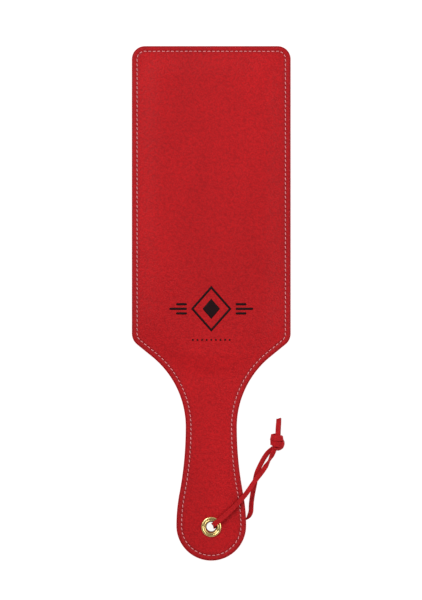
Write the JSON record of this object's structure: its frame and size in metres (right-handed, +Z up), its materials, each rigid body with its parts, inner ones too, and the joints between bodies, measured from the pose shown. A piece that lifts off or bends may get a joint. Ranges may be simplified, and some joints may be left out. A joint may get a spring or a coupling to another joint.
{
  "type": "leather paddle",
  "caption": "Flat leather-covered paddle: padded rectangular blade, waisted handle with a round pommel, brass eyelet and knotted wrist lace.",
  "frame": {"origin": "middle of the paddle's outline, on the surface that it lies on", "axes": "+X across the paddle to the side where the lace lies, +Y from the pommel to the blade's end, +Z up out of the front face"},
  "size_m": [0.1176, 0.381, 0.0096],
  "materials": {
    "leather": "red fine-grain leather, satin",
    "foam": "closed-cell foam sheet, matt",
    "board": "plain fibre board, matt",
    "edge_paint": "red edge paint, satin",
    "thread": "waxed off-white thread",
    "ink": "black printing ink, matt",
    "brass": "polished brass",
    "lace": "red suede lace, matt"
  },
  "bodies": {
    "paddle": {"front_cover": "leather", "back_cover": "leather", "front_pad": "foam", "back_pad": "foam", "stiffener_board": "board", "edge_coat": "edge_paint", "front_stitches": "thread", "back_stitches": "thread", "printed_emblem": "ink", "eyelet_flange": "brass", "eyelet_washer": "brass"},
    "lace": {"lace_front_leg": "lace", "lace_back_leg": "lace", "lace_knot": "lace", "lace_front_tail": "lace", "lace_back_tail": "lace"}
  },
  "joints": [
    {"name": "lace_swing", "type": "hinge", "parent": "paddle", "child": "lace", "pos_m": [0, -0.1655, 0.0046], "axis": [0, 0, 1], "range_deg": [-262, 0]}
  ]
}
